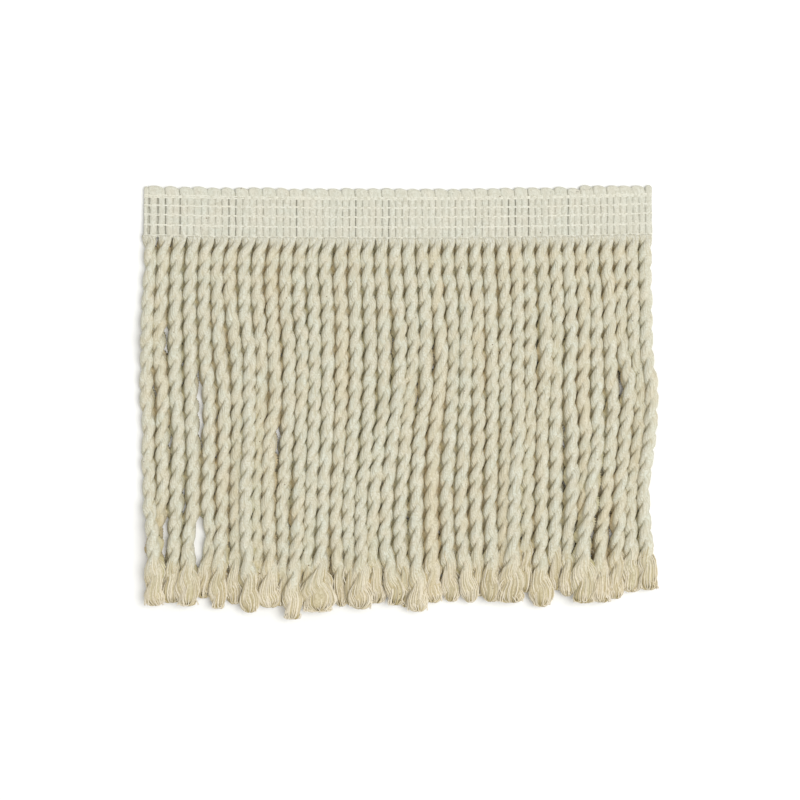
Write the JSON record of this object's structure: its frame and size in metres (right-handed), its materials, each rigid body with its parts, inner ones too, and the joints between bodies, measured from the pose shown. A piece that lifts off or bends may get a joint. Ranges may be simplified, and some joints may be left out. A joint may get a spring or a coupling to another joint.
{
  "type": "bullion fringe",
  "caption": "Cotton bullion fringe lying flat: a narrow woven heading with a looped top edge over a skirt of thick twisted cords with soft looped ends, for trimming upholstery and curtains.",
  "frame": {"origin": "middle of the whole piece, on the surface that it lies on", "axes": "+X along the heading to the right, +Y up the fringe towards the heading, +Z out of the face, away from the surface"},
  "size_m": [0.1866, 0.1582, 0.007],
  "materials": {
    "cotton_cord": "soft matt undyed cotton yarn",
    "cotton_heading": "woven undyed cotton"
  },
  "bodies": {
    "root": {"heading": "cotton_heading", "fringe": "cotton_cord"}
  },
  "joints": []
}
